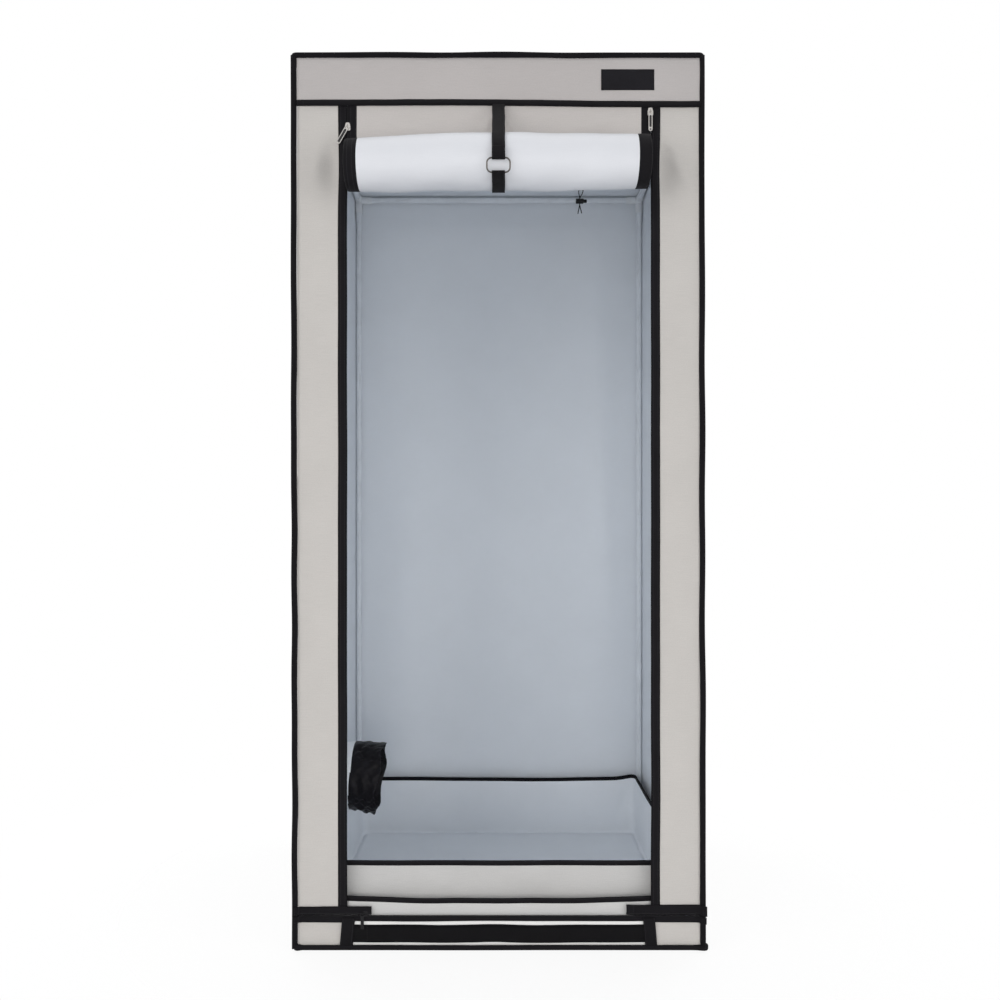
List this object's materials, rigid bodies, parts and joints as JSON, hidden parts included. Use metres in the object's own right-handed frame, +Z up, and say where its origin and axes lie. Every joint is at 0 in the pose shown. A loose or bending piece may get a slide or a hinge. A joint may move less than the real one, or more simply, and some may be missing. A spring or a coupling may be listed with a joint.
{
  "type": "indoor grow tent",
  "caption": "Tall box-shaped indoor grow tent: sewn cloth cover on a plugged tube frame, with its front door rolled up, duct sleeves, hanging bars and a spill tray.",
  "frame": {"origin": "centre of the underside of the floor panel, where the tent stands on the floor", "axes": "+Z up; the door side faces -Y, so +X is to the right of a person who looks at the door"},
  "size_m": [0.8332, 0.9408, 1.7986],
  "materials": {
    "shell_cloth": "beige grey woven cover cloth, white coated inside",
    "white_lining": "white coated lining cloth",
    "tray_cloth": "white coated tray cloth",
    "binding_tape": "black woven binding tape and zip tape",
    "coated_tube": "white coated thin steel tube",
    "black_plastic": "moulded black plastic",
    "white_plastic": "moulded white plastic connector",
    "nickel": "bright nickel plate",
    "webbing": "black webbing, hook-and-loop and drawstring",
    "sleeve_cloth": "limp black duct sleeve cloth"
  },
  "bodies": {
    "tent": {"back_panel": "shell_cloth", "base_binding": "binding_tape", "bottom_rail_front": "coated_tube", "bottom_rail_left": "coated_tube", "bottom_rail_rear": "coated_tube", "bottom_rail_right": "coated_tube", "bottom_zip_tape": "binding_tape", "cord_lock": "black_plastic", "corner_bottom_front_left": "white_plastic", "corner_bottom_front_right": "white_plastic", "corner_bottom_rear_left": "white_plastic", "corner_bottom_rear_right": "white_plastic", "corner_top_front_left": "white_plastic", "corner_top_front_right": "white_plastic", "corner_top_rear_left": "white_plastic", "corner_top_rear_right": "white_plastic", "door_panel": "white_lining", "door_strap_lower": "webbing", "door_strap_upper": "webbing", "drawstring_left": "webbing", "drawstring_right": "webbing", "floor_panel": "shell_cloth", "header_panel": "shell_cloth", "hook_and_loop_strip": "webbing", "left_front_strip": "shell_cloth", "left_side_panel": "shell_cloth", "left_zip_tape": "binding_tape", "light_flap": "shell_cloth", "post_lower_front_left": "coated_tube", "post_lower_front_right": "coated_tube", "post_lower_rear_left": "coated_tube", "post_lower_rear_right": "coated_tube", "post_upper_front_left": "coated_tube", "post_upper_front_right": "coated_tube", "post_upper_rear_left": "coated_tube", "post_upper_rear_right": "coated_tube", "right_front_strip": "shell_cloth", "right_side_panel": "shell_cloth", "right_zip_tape": "binding_tape", "roof_panel": "shell_cloth", "roof_sleeve": "sleeve_cloth", "seam_binding": "binding_tape", "sill_flap": "white_lining", "sill_panel": "shell_cloth", "spill_tray": "tray_cloth", "strap_ring": "nickel", "top_rail_front": "coated_tube", "top_rail_left": "coated_tube", "top_rail_rear": "coated_tube", "top_rail_right": "coated_tube", "wall_sleeve": "sleeve_cloth"},
    "front_bar": {"hanging_bar_front": "coated_tube"},
    "rear_bar": {"hanging_bar_rear": "coated_tube"},
    "left_slider": {"left_zip_slider": "nickel"},
    "left_pull": {"left_zip_pull": "nickel"},
    "right_slider": {"right_zip_slider": "nickel"},
    "right_pull": {"right_zip_pull": "nickel"},
    "bottom_slider": {"bottom_zip_slider": "black_plastic"},
    "bottom_pull": {"bottom_zip_pull": "binding_tape"},
    "lock_button": {"cord_lock_button": "black_plastic"}
  },
  "joints": [
    {"name": "front_bar_slide", "type": "slide", "parent": "tent", "child": "front_bar", "axis": [0, 1, 0], "range_m": [-0.14, 0.1]},
    {"name": "rear_bar_slide", "type": "slide", "parent": "tent", "child": "rear_bar", "axis": [0, 1, 0], "range_m": [-0.1, 0.035]},
    {"name": "left_zip_slide", "type": "slide", "parent": "tent", "child": "left_slider", "axis": [0, 0, 1], "range_m": [-1.529, 0.033]},
    {"name": "left_pull_swing", "type": "hinge", "parent": "left_slider", "child": "left_pull", "pos_m": [-0.3032, -0.40856, 1.649], "axis": [-0.866, 0, 0.5], "range_deg": [0, 150]},
    {"name": "right_zip_slide", "type": "slide", "parent": "tent", "child": "right_slider", "axis": [0, 0, 1], "range_m": [-1.559, 0.003]},
    {"name": "right_pull_swing", "type": "hinge", "parent": "right_slider", "child": "right_pull", "pos_m": [0.3032, -0.40856, 1.679], "axis": [-1, 0, 0], "range_deg": [0, 150]},
    {"name": "bottom_zip_slide", "type": "slide", "parent": "tent", "child": "bottom_slider", "axis": [1, 0, 0], "range_m": [-0.1, 0.61]},
    {"name": "bottom_pull_swing", "type": "hinge", "parent": "bottom_slider", "child": "bottom_pull", "pos_m": [-0.2735, -0.4097, 0.072], "axis": [0, -1, 0], "range_deg": [-50, 40]},
    {"name": "lock_button_press", "type": "slide", "parent": "tent", "child": "lock_button", "axis": [-1, 0, 0], "range_m": [0, 0.004], "stiffness_N_per_m": 300, "springref_m": -0.002}
  ]
}
